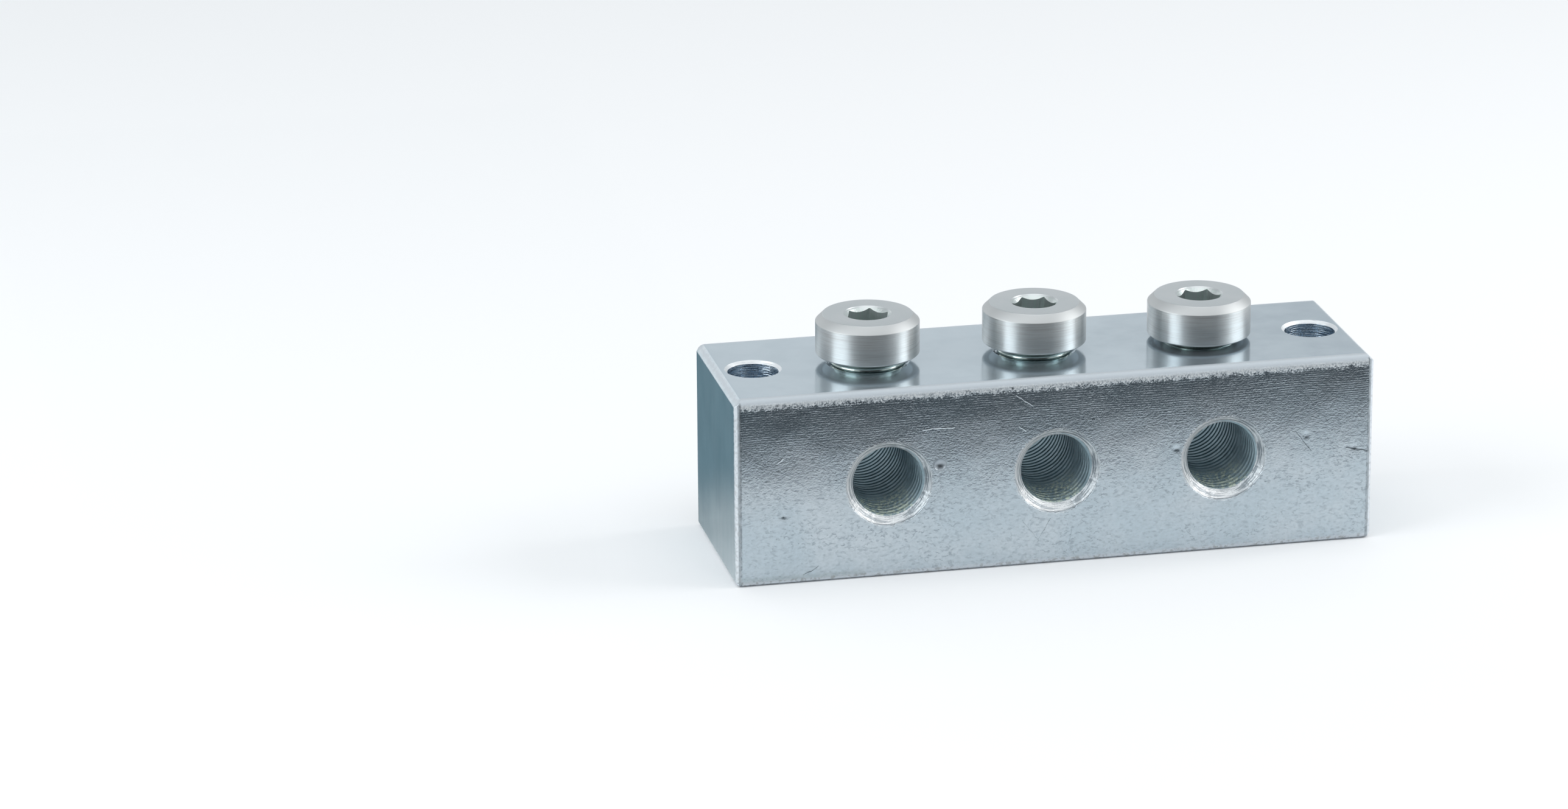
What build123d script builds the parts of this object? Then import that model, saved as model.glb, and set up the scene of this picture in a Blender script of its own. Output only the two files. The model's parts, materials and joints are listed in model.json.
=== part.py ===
from build123d import *
from math import radians, tan
import os

# Drawn bar, in millimetres. Its length follows from the holes along it.
block_width = 25.0
block_height = 25.0
bar_edge_round = 0.9
end_chamfer = 0.8

# Ports, tapped M10x1 from both faces and shown at the tap drill's diameter.
port_names = ("left", "middle", "right")
port_spacing = 22.0
port_bore = 9.0
port_mouth = 11.6

# Plain holes for the two holding screws, each beside an outer port and near the bar's end.
screw_to_port = 15.0
screw_to_end = 5.0
screw_bore = 6.6
screw_mouth = 7.5

# Thread between plug and block, M10x1, shown at its pitch line.
thread_line = 9.35
thread_clearance = 0.05
plug_hole_mouth = 10.4
hole_end_gap = 0.4
drill_point_angle = 118.0

# Plug, turned from bar.
head_diameter = 13.4
head_height = 5.25
head_top_chamfer = 0.9
head_under_chamfer = 0.2
neck_diameter = 8.2
neck_length = 1.0
shank_length = 8.0
shank_tip_chamfer = 0.5

# Hexagon socket of the plug.
hex_across_flats = 5.0
hex_depth = 5.0
hex_lead_in = 6.2

# How far each head's underside stands off the block, and how its socket is turned, left to right.
stand_offs = (1.15, 1.15, 0.6)
socket_turns = (11.4, 49.7, 53.2)

# Cutters run past the faces that they open by this much.
overrun = 1.0


def row_places():
    """Places of the ports along the bar."""
    middle = (len(port_names) - 1) / 2
    return [(index - middle) * port_spacing for index in range(len(port_names))]


def screw_places():
    """Places of the two screw holes along the bar."""
    ports = row_places()
    return [ports[0] - screw_to_port, ports[-1] + screw_to_port]


def turned(points):
    """Solid of revolution about Z from a closed outline of radius and height."""
    outline = Polyline(*[(radius, 0, height) for radius, height in points], close=True)
    return revolve(make_face(outline), Axis.Z)


def drill_point(radius):
    """Height of a drill's point for the given radius."""
    return radius / tan(radians(drill_point_angle / 2))


def through_hole(span, bore, mouth):
    """Cutter for a plain hole with a 45 degree countersink at both ends, centred on Z."""
    half = span / 2
    straight = half - (mouth - bore) / 2
    wide = mouth / 2 + overrun
    return turned([
        (0, -half - overrun),
        (wide, -half - overrun),
        (bore / 2, -straight),
        (bore / 2, straight),
        (wide, half + overrun),
        (0, half + overrun),
    ])


def plug_hole():
    """Cutter for one tapped plug hole, its top at height zero, whose drill point breaks into the port."""
    radius = thread_line / 2 + thread_clearance
    depth = shank_length - min(stand_offs) + hole_end_gap
    return turned([
        (0, overrun),
        (plug_hole_mouth / 2 + overrun, overrun),
        (radius, radius - plug_hole_mouth / 2),
        (radius, -depth),
        (0, -depth - drill_point(radius)),
    ])


def make_block():
    """Drawn bar with rounded long edges and chamfered ends, then all its holes."""
    section = Plane.YZ * RectangleRounded(block_width, block_height, bar_edge_round)
    half_length = screw_places()[-1] + screw_to_end
    bar = extrude(section, half_length, both=True)
    end_faces = bar.faces().sort_by(Axis.X)
    bar = chamfer(end_faces[0].edges() + end_faces[-1].edges(), end_chamfer)
    bar = Pos(0, 0, block_height / 2) * bar
    port = Rot(90, 0, 0) * through_hole(block_width, port_bore, port_mouth)
    for place in row_places():
        bar -= Pos(place, 0, block_height / 2) * port
        bar -= Pos(place, 0, block_height) * plug_hole()
    screw_hole = through_hole(block_height, screw_bore, screw_mouth)
    for place in screw_places():
        bar -= Pos(place, 0, block_height / 2) * screw_hole
    return bar


def plug_outside():
    """Head, undercut neck and shank of a plug, with the head's underside at height zero."""
    head = head_diameter / 2
    neck = neck_diameter / 2
    shank = thread_line / 2
    return turned([
        (0, head_height),
        (head - head_top_chamfer, head_height),
        (head, head_height - head_top_chamfer),
        (head, head_under_chamfer),
        (head - head_under_chamfer, 0),
        (neck, 0),
        (neck, -neck_length),
        (shank, -neck_length - (shank - neck)),
        (shank, -shank_length + shank_tip_chamfer),
        (shank - shank_tip_chamfer, -shank_length),
        (0, -shank_length),
    ])


def socket_pilot():
    """Lead-in cone, pilot drilling and drill point of the hexagon socket, in one turned cutter."""
    lead = hex_lead_in / 2
    pilot = hex_across_flats / 2
    return turned([
        (0, head_height + overrun),
        (lead + overrun, head_height + overrun),
        (pilot, head_height - (lead - pilot)),
        (pilot, head_height - hex_depth),
        (0, head_height - hex_depth - drill_point(pilot)),
    ])


def make_plug(turn):
    """Turned plug with its hexagon socket turned by the given angle."""
    hexagon = RegularPolygon(hex_across_flats / 2, 6, major_radius=False)
    socket = extrude(Rot(0, 0, turn) * hexagon, hex_depth)
    body = plug_outside() - socket_pilot()
    return body - Pos(0, 0, head_height - hex_depth) * socket


def main():
    """Writes every piece to its own file."""
    os.makedirs("parts", exist_ok=True)
    pieces = {"block": make_block()}
    for name, place, stand, turn in zip(port_names, row_places(), stand_offs, socket_turns):
        pieces[f"plug_{name}"] = Pos(place, 0, block_height + stand) * make_plug(turn)
    for name, piece in pieces.items():
        export_step(piece, f"parts/{name}.step")


main()
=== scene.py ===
# %% [markdown]
# # A lubrication block with three closing plugs
#
# The real thing is a length of bright drawn square steel, drilled, tapped and zinc plated. Three ports
# run through it from front to back, and above each port a collar plug with a hexagon socket is screwed
# into the top.
#
# The CAD model gives every size and place. We load it first as a fixed frame, in metres, and then make a
# detailed mesh for each of its four pieces at exactly the same place.

# %% Load the frame
import bpy
import bmesh
import json
from math import cos, pi, radians, tan
from mathutils import Matrix, Vector


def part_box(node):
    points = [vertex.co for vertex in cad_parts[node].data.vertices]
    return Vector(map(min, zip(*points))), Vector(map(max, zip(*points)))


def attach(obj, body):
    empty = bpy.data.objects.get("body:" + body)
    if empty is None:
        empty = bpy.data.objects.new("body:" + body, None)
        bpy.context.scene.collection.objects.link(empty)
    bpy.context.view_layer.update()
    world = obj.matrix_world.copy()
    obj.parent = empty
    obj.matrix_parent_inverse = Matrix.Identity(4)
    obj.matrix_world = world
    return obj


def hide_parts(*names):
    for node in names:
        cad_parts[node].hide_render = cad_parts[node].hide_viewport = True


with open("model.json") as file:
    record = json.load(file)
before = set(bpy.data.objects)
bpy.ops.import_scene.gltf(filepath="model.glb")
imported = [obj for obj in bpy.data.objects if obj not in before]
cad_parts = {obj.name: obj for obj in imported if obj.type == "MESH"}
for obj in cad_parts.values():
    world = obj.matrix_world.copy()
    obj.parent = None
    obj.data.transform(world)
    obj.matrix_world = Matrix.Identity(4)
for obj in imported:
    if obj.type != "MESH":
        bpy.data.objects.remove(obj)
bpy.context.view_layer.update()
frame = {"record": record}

mm = 0.001

# %% [markdown]
# ## Sizes from the frame
#
# The CAD nodes say how large the bar is, where each plug sits and how far it stands off, and the record
# says how far apart the screw holes are. What is read here isn't typed again, so the detailed part
# follows the CAD model. Sizes and places are written in millimetres, and the factor mm turns them into
# metres, which is Blender's unit here.

# %% Sizes of the bar and places along it
names = ("left", "middle", "right")
head_height = 5.25


def span(node, axis):
    """Lowest and highest place of a CAD node along an axis, in mm."""
    return [round(corner[axis] / mm, 2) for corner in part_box(node)]


length, width, height = (high - low for low, high in (span("block", axis) for axis in range(3)))
half_length, half_width, port_height = length / 2, width / 2, height / 2
port_places = [round(sum(span("plug_" + name, 0)) / 2, 2) for name in names]
port_spacing = port_places[1] - port_places[0]
stand_offs = [round(span("plug_" + name, 2)[1] - height - head_height, 2) for name in names]
shank_length = round(height + stand_offs[0] - span("plug_left", 2)[0], 2)
head_radius = span("plug_middle", 0)[1] - port_places[1]
screw_holes = next(mount for mount in frame["record"]["mounts"] if mount["name"] == "screw_holes")
screw_place = screw_holes["dims"]["spacing_x_mm"] / 2
print("bar", (length, width, height), "ports", port_places, "screws", screw_place, "stand-offs", stand_offs)

# %% [markdown]
# ## Working by hand, in code
#
# Blender's operators act on whatever is selected, and loading the frame leaves its nodes selected. So
# every step begins by deselecting everything. In edit mode we then choose vertices, edges or faces by a
# test on their place or their normal, which is what a hand does by clicking on them.

# %% Selecting
def deselect_all():
    """Leaves edit mode and selects nothing."""
    if bpy.context.object and bpy.context.object.mode != "OBJECT":
        bpy.ops.object.mode_set(mode="OBJECT")
    bpy.ops.object.select_all(action="DESELECT")


def take(piece):
    """Makes one piece the selected and active one."""
    deselect_all()
    piece.select_set(True)
    bpy.context.view_layer.objects.active = piece


def edit(piece):
    """Opens a piece in edit mode with all of it selected."""
    take(piece)
    bpy.ops.object.mode_set(mode="EDIT")
    bpy.ops.mesh.select_all(action="SELECT")


def pick(kind, test):
    """In edit mode, selects the vertices, edges or faces that pass the test and says how many they are."""
    bpy.ops.mesh.select_mode(type=kind)
    bpy.ops.mesh.select_all(action="DESELECT")
    mesh = bpy.context.object.data
    shape = bmesh.from_edit_mesh(mesh)
    parts = {"VERT": shape.verts, "EDGE": shape.edges, "FACE": shape.faces}[kind]
    chosen = [part for part in parts if test(part)]
    for part in chosen:
        part.select_set(True)
    bmesh.update_edit_mesh(mesh)
    return len(chosen)


def bevel_sharp(angle, offset):
    """In edit mode, rounds every edge that is sharper than an angle in degrees."""
    bpy.ops.mesh.select_mode(type="EDGE")
    bpy.ops.mesh.select_all(action="DESELECT")
    bpy.ops.mesh.edges_select_sharp(sharpness=radians(angle))
    bpy.ops.mesh.bevel(offset=offset * mm, segments=3, affect="EDGES")


def close_up():
    """In edit mode, merges doubles and turns every face outwards."""
    bpy.ops.mesh.select_all(action="SELECT")
    bpy.ops.mesh.remove_doubles(threshold=0.0005 * mm)
    bpy.ops.mesh.normals_make_consistent(inside=False)


def tell(step, piece):
    """Prints a piece's number of faces after a step, and of edges that don't lie between two faces."""
    shape = bmesh.new()
    shape.from_mesh(piece.data)
    print(step, "faces", len(shape.faces), "open edges", sum(not edge.is_manifold for edge in shape.edges))
    shape.free()

# %% [markdown]
# ## Turning and threading
#
# Almost everything here is round, as it comes off a lathe or a drill. Half of the outline is drawn as a
# line of points (radius, height) and spun round the Z axis.
#
# A screw thread could be faked with a bump, but the ports are wide open to the eye, so real helices are
# cut. The Screw modifier sweeps the shape of one pitch round and up. Two bisects with fill trim the rod
# to length.

# %% Lines and turned shapes
pitch = 1.0
overrun = 1.0


def draw_line(name, outline):
    """A line of vertices from points of (radius, height), begun as a plane merged to one vertex."""
    points = [Vector((radius, 0, level)) * mm for radius, level in outline]
    deselect_all()
    bpy.ops.mesh.primitive_plane_add(size=mm, location=(0, 0, 0))
    line = bpy.context.object
    line.name = line.data.name = name
    bpy.ops.object.mode_set(mode="EDIT")
    bpy.ops.mesh.select_mode(type="VERT")
    bpy.ops.mesh.select_all(action="SELECT")
    bpy.ops.mesh.merge(type="CENTER")
    bpy.ops.mesh.select_all(action="SELECT")
    bpy.ops.transform.translate(value=points[0])
    for here, there in zip(points, points[1:]):
        bpy.ops.mesh.extrude_vertices_move(TRANSFORM_OT_translate={"value": there - here})
    return line


def turned(name, outline, steps=96, soften=0.0):
    """A solid turned about Z from points of (radius, height), both ends on the axis."""
    piece = draw_line(name, outline)
    bpy.ops.mesh.select_all(action="SELECT")
    bpy.ops.mesh.spin(steps=steps, angle=2 * pi, center=(0, 0, 0), axis=(0, 0, 1))
    close_up()
    if soften:
        bevel_sharp(25, soften)
    bpy.ops.object.mode_set(mode="OBJECT")
    return piece


def drill_tip(radius):
    """Height of the point of a drill, which has 118 degrees."""
    return radius / tan(radians(59))


def thread_rod(name, inner, outer, low, high, crest=0.13):
    """A threaded rod about Z between two radii and two heights, trimmed flat at both ends."""
    flank = (outer - inner) * tan(radians(30))
    foot = low - 2 * pitch
    middle = foot + pitch / 2
    rod = draw_line(name, [
        (inner, foot), (inner, middle - crest / 2 - flank), (outer, middle - crest / 2),
        (outer, middle + crest / 2), (inner, middle + crest / 2 + flank), (inner, foot + pitch)])
    take(rod)
    bpy.ops.object.modifier_add(type="SCREW")
    screw = rod.modifiers[-1]
    screw.axis, screw.angle, screw.screw_offset = "Z", 2 * pi, pitch * mm
    screw.iterations = int((high - low) / pitch) + 4
    screw.steps = screw.render_steps = 72
    bpy.ops.object.modifier_apply(modifier=screw.name)
    edit(rod)
    close_up()
    for level, down in ((low, True), (high, False)):
        bpy.ops.mesh.select_all(action="SELECT")
        bpy.ops.mesh.bisect(plane_co=(0, 0, level * mm), plane_no=(0, 0, 1), use_fill=True,
                            clear_inner=down, clear_outer=not down, threshold=1e-8)
    close_up()
    bpy.ops.object.mode_set(mode="OBJECT")
    tell(name, rod)
    return rod

# %% [markdown]
# ## Placing and cutting
#
# A tool is made once at the origin and each copy is put in its place with its own mesh. Its place is
# applied at once, so that the mesh itself holds it. A Boolean modifier then does the cutting, and is
# applied.

# %% Copies and cuts
def place(piece, spot=(0, 0, 0), lean=0.0, turn=0.0, copy=False):
    """Puts a piece, or a copy of it, at a spot, leaned about X and turned about Z in degrees."""
    if copy:
        piece = piece.copy()
        piece.data = piece.data.copy()
        bpy.context.collection.objects.link(piece)
    take(piece)
    piece.matrix_world = (Matrix.Translation(Vector(spot) * mm) @ Matrix.Rotation(radians(lean), 4, "X")
                          @ Matrix.Rotation(radians(turn), 4, "Z"))
    bpy.ops.object.transform_apply(location=True, rotation=True, scale=True)
    return piece


def combine(piece, tool, operation="DIFFERENCE"):
    """Cuts the tool out of the piece, or unites or intersects them, and removes the tool."""
    take(piece)
    bpy.ops.object.modifier_add(type="BOOLEAN")
    step = piece.modifiers[-1]
    step.operation, step.object, step.solver = operation, tool, "MANIFOLD"
    bpy.ops.object.modifier_apply(modifier=step.name)
    bpy.data.objects.remove(tool)


def cut_copies(piece, tool, places):
    """Cuts joined copies of a tool out of a piece, each at its own place, and removes the tool."""
    copies = [place(tool, copy=True, **spot) for spot in places]
    take(copies[0])
    for copy in copies:
        copy.select_set(True)
    bpy.ops.object.join()
    combine(piece, copies[0])
    bpy.data.objects.remove(tool)

# %% [markdown]
# ## The bar
#
# Bright drawn square bar has softly rounded long edges and dead straight faces, and its sawn ends are
# chamfered. We start from a cube, draw out its two end faces, bevel the long edges and cut the end
# chamfers with bisects. Each bisect fills its cut. A last small bevel takes the sharpness off the
# chamfers.

# %% Square bar with rounded edges and chamfered ends
top_round, bottom_round = 1.1, 0.75
top_chamfer, side_chamfer, bottom_chamfer = 0.95, 0.6, 0.6
softened = 0.16


def on_long_edge(edge, upper):
    """True for an edge along the bar at its front or back, in its upper or its lower half."""
    x, y, z = (edge.verts[0].co + edge.verts[1].co) / 2 / mm
    return abs(x) < 1 and abs(y) > half_width - 0.5 and (z > port_height) == upper


def chamfer_end(side, edge_y, edge_z, size):
    """Bisects away an edge of the end on that side: along Y if edge_y is 0, along Z if edge_z is 0."""
    corner = Vector((side * (half_length - size), edge_y * half_width, port_height + edge_z * port_height))
    bpy.ops.mesh.select_all(action="SELECT")
    bpy.ops.mesh.bisect(plane_co=corner * mm, plane_no=Vector((side, edge_y, edge_z)).normalized(),
                        use_fill=True, clear_outer=True, threshold=1e-8)


deselect_all()
bpy.ops.mesh.primitive_cube_add(size=width * mm, location=(0, 0, port_height * mm))
bar = bpy.context.object
bar.name = bar.data.name = "drilled_bar"
bpy.ops.object.transform_apply(location=True)
edit(bar)
for side in (-1, 1):
    pick("FACE", lambda face: face.normal.x * side > 0.9)
    bpy.ops.transform.translate(value=(side * (length - width) / 2 * mm, 0, 0))
for upper, radius in ((True, top_round), (False, bottom_round)):
    pick("EDGE", lambda edge: on_long_edge(edge, upper))
    bpy.ops.mesh.bevel(offset=radius * mm, segments=6, affect="EDGES")
for side in (-1, 1):
    chamfer_end(side, 0, 1, top_chamfer)
    chamfer_end(side, 0, -1, bottom_chamfer)
    chamfer_end(side, -1, 0, side_chamfer)
    chamfer_end(side, 1, 0, side_chamfer)
close_up()
bevel_sharp(30, softened)
close_up()
print("bar faces", len(bmesh.from_edit_mesh(bar.data).faces))

# %% [markdown]
# ### A grid to push on
#
# A face of the bar is one big polygon so far, and nothing can dent it. Subdividing would leave its holes
# in long thin triangles, and a loop cut needs a window. Rows of bisects rule an even grid over the bar
# instead.

# %% Rule a grid over it
cell, margin = 1.0, 1.5


def rule(axis, first, last):
    """Bisects the whole piece by planes across one axis, a cell apart."""
    for index in range(round((last - first) / cell) + 1):
        spot, across = Vector((0, 0, 0)), Vector((0, 0, 0))
        spot[axis], across[axis] = (first + index * cell) * mm, 1.0
        bpy.ops.mesh.select_all(action="SELECT")
        bpy.ops.mesh.bisect(plane_co=spot, plane_no=across, threshold=1e-8)


rule(0, margin - half_length, half_length - margin)
rule(1, margin - half_width, half_width - margin)
rule(2, margin, height - margin)
bpy.ops.object.mode_set(mode="OBJECT")
tell("ruled bar", bar)

# %% [markdown]
# ## Waves
#
# Drawn and plated faces look flat but reflect like still water. A Displace modifier with soft clouds
# pushes the faces in by a few hundredths of a millimetre, more on the front than on the others. It only
# pushes inwards, so the bar never grows.

# %% Gentle waves
wave_size, wave_depth = 3.5, 0.07
waves = bpy.data.textures.new("plating_waves", type="CLOUDS")
waves.noise_scale = wave_size * mm
waves.noise_depth = 2
take(bar)
wavy = bar.vertex_groups.new(name="wavy")
for vertex in bar.data.vertices:
    x, y, z = vertex.co / mm
    flat = abs(x) > half_length - 0.8 or z <= 0.4
    front = y < 0.2 - half_width
    wavy.add([vertex.index], 0.0 if flat else 1.0 if front else 0.45, "REPLACE")
bpy.ops.object.modifier_add(type="DISPLACE")
push = bar.modifiers[-1]
push.texture, push.texture_coords, push.vertex_group = waves, "LOCAL", "wavy"
push.strength, push.mid_level = wave_depth * mm, 1.0
bpy.ops.object.modifier_apply(modifier=push.name)
print("waves pushed in")

# %% [markdown]
# ### Knocks
#
# Parts are plated tumbling in a barrel and knock against each other. A few vertices round each knock are
# enough: the faces there are subdivided, and the middle is pushed in with proportional editing. The one
# deep crater has a crisp rim, so a ball cuts it.

# %% Knocks
# Each knock: x and z on the front face, radius and depth.
knocks = [
    (15.7, 14.3, 0.45, 0.12),
    (-35.8, 9.3, 0.5, 0.10),
    (32.9, 14.8, 0.6, 0.06),
    (39.6, 12.7, 0.6, 0.08),
]
edit(bar)
for x, z, radius, depth in knocks:
    spot = Vector((x, -half_width, z)) * mm
    for reach in (2.6, 1.5):
        pick("FACE", lambda face: face.normal.y < -0.8
             and (face.calc_center_median() - spot).length < (reach * radius + 0.5) * mm)
        bpy.ops.mesh.subdivide(number_cuts=1)
    pick("VERT", lambda vertex: (vertex.co - spot).length < 0.16 * mm)
    bpy.ops.transform.translate(value=(0, depth * mm, 0), use_proportional_edit=True,
                                proportional_edit_falloff="SMOOTH", proportional_size=radius * mm)
crater_x, crater_z, crater_depth, ball_radius = -15.45, 14.55, 0.34, 1.2
ball_y = crater_depth - ball_radius - half_width
deselect_all()
bpy.ops.mesh.primitive_uv_sphere_add(segments=32, ring_count=16, radius=ball_radius * mm,
                                     location=(crater_x * mm, ball_y * mm, crater_z * mm))
ball = bpy.context.object
bpy.ops.object.transform_apply(location=True)
combine(bar, ball)
tell("knocked bar", bar)

# %% [markdown]
# ## Ports
#
# The ports are drilled through from front to back, and a countersink opens each mouth. One drill with
# both cones on it is turned and copied to the three places. The countersinks of the real block are chewed
# a little, so the rim of the drill is made uneven with a seeded random move before it cuts.

# %% Drilled ports with countersunk mouths
port_bore, port_mouth, mouth_depth, unevenness = 9.1, 11.3, 1.1, 0.10

drill = turned("port_drill", [
    (0, -half_width - overrun), (port_mouth / 2 + overrun, -half_width - overrun),
    (port_mouth / 2, -half_width), (port_bore / 2, mouth_depth - half_width),
    (port_bore / 2, half_width - mouth_depth), (port_mouth / 2, half_width),
    (port_mouth / 2 + overrun, half_width + overrun), (0, half_width + overrun),
], steps=128)
edit(drill)
pick("VERT", lambda vertex: Vector(vertex.co.xy).length > (port_bore / 2 + 0.45) * mm)
bpy.ops.transform.vertex_random(offset=unevenness * mm, seed=4)
bpy.ops.object.mode_set(mode="OBJECT")
cut_copies(bar, drill, [dict(spot=(x, 0, port_height), lean=90, turn=50 * x) for x in port_places])
tell("drilled bar", bar)

# %% [markdown]
# ### Threads in the ports
#
# Each port is tapped from both faces, so the two threads leave a smooth band between them in the middle.
# A tap is a threaded rod with a tapered tip, and cutting with one leaves just what a real tap leaves.

# %% Threads tapped from front and back
tap_inner, tap_outer, tap_length = 4.35, 4.85, 14.0
tap = thread_rod("port_tap", tap_inner, tap_outer, 0.1, tap_length, crest=0.12)
tapered = turned("tap_blank", [
    (0, 0.15), (4.5, 0.15), (5.15, 1.2), (5.15, tap_length + 1), (0, tap_length + 1)], steps=72)
combine(tap, tapered, "INTERSECT")
cut_copies(bar, tap, [dict(spot=(x, 0, port_height), lean=lean, turn=turn)
                      for x in port_places for lean, turn in ((90, 35 + x), (-90, 80 - x))])
tell("tapped bar", bar)

# %% [markdown]
# ### Screw holes
#
# The two holes for the holding screws are plain, with a light countersink at both ends.

# %% Screw holes
screw_bore, screw_mouth = 6.56, 7.36
sunk = (screw_mouth - screw_bore) / 2
screw_drill = turned("screw_drill", [
    (0, -overrun), (screw_mouth / 2 + overrun, -overrun), (screw_bore / 2, sunk),
    (screw_bore / 2, height - sunk), (screw_mouth / 2 + overrun, height + overrun), (0, height + overrun)])
cut_copies(bar, screw_drill, [dict(spot=(side * screw_place, 0, 0)) for side in (-1, 1)])
tell("bar with screw holes", bar)

# %% [markdown]
# ## The plugs
#
# A collar plug is turned from steel bar: a thick head with a bold chamfer, a narrow undercut below it,
# and a threaded shank. One master plug is made, with its head's underside at height zero. The first turn
# of its thread is worn to a round bead at the foot of the undercut. It is what catches the light below
# each head.

# %% Turn the plug
head_chamfer, under_chamfer = 0.95, 0.2
thread_inner, thread_outer = 4.3, 4.93
undercut = [(4.3, 0), (4.1, -0.2), (4.1, -0.5), (4.5, -0.65)]
bead = [(4.78, -0.88), (4.86, -1.1), (4.8, -1.35), (4.5, -1.6), (4.35, -1.85)]
plug = turned("plug", [
    (0, head_height), (head_radius - head_chamfer, head_height), (head_radius, head_height - head_chamfer),
    (head_radius, under_chamfer), (head_radius - under_chamfer, 0), *undercut, *bead,
    (bead[-1][0], -shank_length), (0, -shank_length),
], steps=128, soften=0.07)
thread = thread_rod("plug_thread", thread_inner, thread_outer, -shank_length - pitch, 0.0)
tip = 0.01 - shank_length
trimmed = turned("thread_blank", [
    (0, tip), (4.4, tip), (4.95, tip + 0.54), (4.95, -2.0), (4.5, -1.55), (0, -1.55)])
combine(thread, trimmed, "INTERSECT")
combine(plug, thread, "UNION")
tell("plug", plug)

# %% [markdown]
# ### Socket
#
# A hexagon socket is drilled first and then broached: the drill leaves a cone at the mouth and a point at
# the bottom, and the broach squares out the corners, here with a small radius. Both tools are turned or
# bevelled solids and cut one after the other, as in the shop. The finished master then notes each
# vertex's own place in an attribute, which the copies keep, so that finishes can follow the plug however
# it is turned.

# %% Socket
socket_half, socket_floor, lead_in, broach_length = 2.5, 0.25, 0.6, 6.0
combine(plug, turned("socket_pilot", [
    (0, head_height + overrun), (socket_half + lead_in + overrun, head_height + overrun),
    (socket_half + lead_in, head_height), (socket_half, head_height - lead_in),
    (socket_half, socket_floor), (0, socket_floor - drill_tip(socket_half)),
]))
deselect_all()
bpy.ops.mesh.primitive_cylinder_add(vertices=6, radius=socket_half / cos(radians(30)) * mm,
                                    depth=broach_length * mm,
                                    location=(0, 0, (socket_floor + broach_length / 2) * mm))
hexagon = bpy.context.object
bpy.ops.object.transform_apply(location=True)
edit(hexagon)
pick("EDGE", lambda edge: abs(edge.verts[0].co.z - edge.verts[1].co.z) > mm)
bpy.ops.mesh.bevel(offset=0.12 * mm, segments=2, affect="EDGES")
bpy.ops.object.mode_set(mode="OBJECT")
combine(plug, place(hexagon, turn=-30))
on_plug = plug.data.attributes.new("from_axis", "FLOAT_VECTOR", "POINT")
for vertex, spot in zip(plug.data.vertices, on_plug.data):
    spot.vector = vertex.co / mm
tell("plug with socket", plug)

# %% [markdown]
# ### Plug holes and seated plugs
#
# Each plug hole goes down from the top until its drill point breaks into the port. It is tapped in step
# with its plug's thread, so the two mesh with a small gap. Each plug stands off the block by its own
# amount, screwed in by hand only.

# %% Plug holes and seated plugs
socket_turns = (11.4, 49.7, 53.2)
hole_radius, hole_mouth, hole_depth, thread_gap = 4.5, 5.4, 7.8, 0.1
hole_drill = turned("plug_hole_drill", [
    (0, overrun), (hole_mouth + overrun, overrun), (hole_radius, hole_radius - hole_mouth),
    (hole_radius, -hole_depth), (0, -hole_depth - drill_tip(hole_radius))])
hole_tap = thread_rod("plug_hole_tap", thread_inner + thread_gap, thread_outer + thread_gap, -7.4, 3.0)
seats = [dict(spot=(x, 0, height + stand_off), turn=turn)
         for x, stand_off, turn in zip(port_places, stand_offs, socket_turns)]
cut_copies(bar, hole_drill, [dict(spot=(x, 0, height)) for x in port_places])
cut_copies(bar, hole_tap, seats)
plugs = [place(plug, copy=True, **seat) for seat in seats]
bpy.data.objects.remove(plug)
for name, seated in zip(names, plugs):
    seated.name = seated.data.name = "closing_plug_" + name
tell("finished bar", bar)

# %% [markdown]
# ## Shading
#
# Curved faces are shaded smooth while real corners stay crisp. Smooth by Angle does both in one go.

# %% Smooth by angle
for piece in [bar, *plugs]:
    take(piece)
    bpy.ops.object.shade_smooth_by_angle(angle=radians(28))
    print(piece.name, "triangles", sum(len(face.vertices) - 2 for face in piece.data.polygons))

# %% [markdown]
# ## Finishes
#
# Everything is bright zinc with a faintly blue passivation. Its marks could be painted on an image, but a
# pattern that nodes work out has no seams and stays sharp from close by, so each finish is a tree of
# nodes. Two helpers add the nodes and connect them.

# %% Adding nodes
def feed(socket, value):
    """Leads an output into an input, or sets the input to a constant."""
    if isinstance(value, bpy.types.NodeSocket):
        socket.id_data.links.new(value, socket)
    else:
        socket.default_value = value


def add(tree, kind, links=None, **settings):
    """Adds a node, sets its properties and inputs, and links outputs of other nodes to its inputs."""
    node = tree.nodes.new(kind)
    for name, value in settings.items():
        if hasattr(node, name):
            setattr(node, name, value)
        else:
            node.inputs[name.replace("_", " ")].default_value = value
    for name, source in (links or {}).items():
        feed(node.inputs[name], source)
    return node

# %% [markdown]
# ### Calculating with nodes
#
# A pattern is mostly arithmetic with values that change over the surface. Each helper takes numbers,
# triples or outputs of other nodes, finds the node tree from an output among them, and hands back the
# output of its own node, ready for the next step.

# %% Calculating helpers
def calculate(kind, operation, first, second):
    """A node that calculates with two values, at least one of them an output."""
    output = first if isinstance(first, bpy.types.NodeSocket) else second
    node = add(output.id_data, kind, operation=operation)
    feed(node.inputs[0], first)
    feed(node.inputs[1], second)
    return node


def math(operation, first, second=0.0, clamp=False):
    """A Math node on two numbers or outputs."""
    node = calculate("ShaderNodeMath", operation, first, second)
    node.use_clamp = clamp
    return node.outputs[0]


def vector_math(operation, first, second=(0, 0, 0)):
    """A Vector Math node on two triples or outputs."""
    node = calculate("ShaderNodeVectorMath", operation, first, second)
    return node.outputs["Value" if operation in ("DOT_PRODUCT", "LENGTH") else "Vector"]


def chain(operation, values):
    """Joins several values by one operation, from the first to the last."""
    result = values[0]
    for value in values[1:]:
        result = math(operation, result, value)
    return result


def product(*values):
    """The product of several values."""
    return chain("MULTIPLY", values)


def total(*values):
    """The sum of several values."""
    return chain("ADD", values)


def strongest(*values):
    """The largest of several values."""
    return chain("MAXIMUM", values)


def distance(first, second):
    """Length of the diagonal over two values."""
    return math("SQRT", total(product(first, first), product(second, second)))

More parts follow.
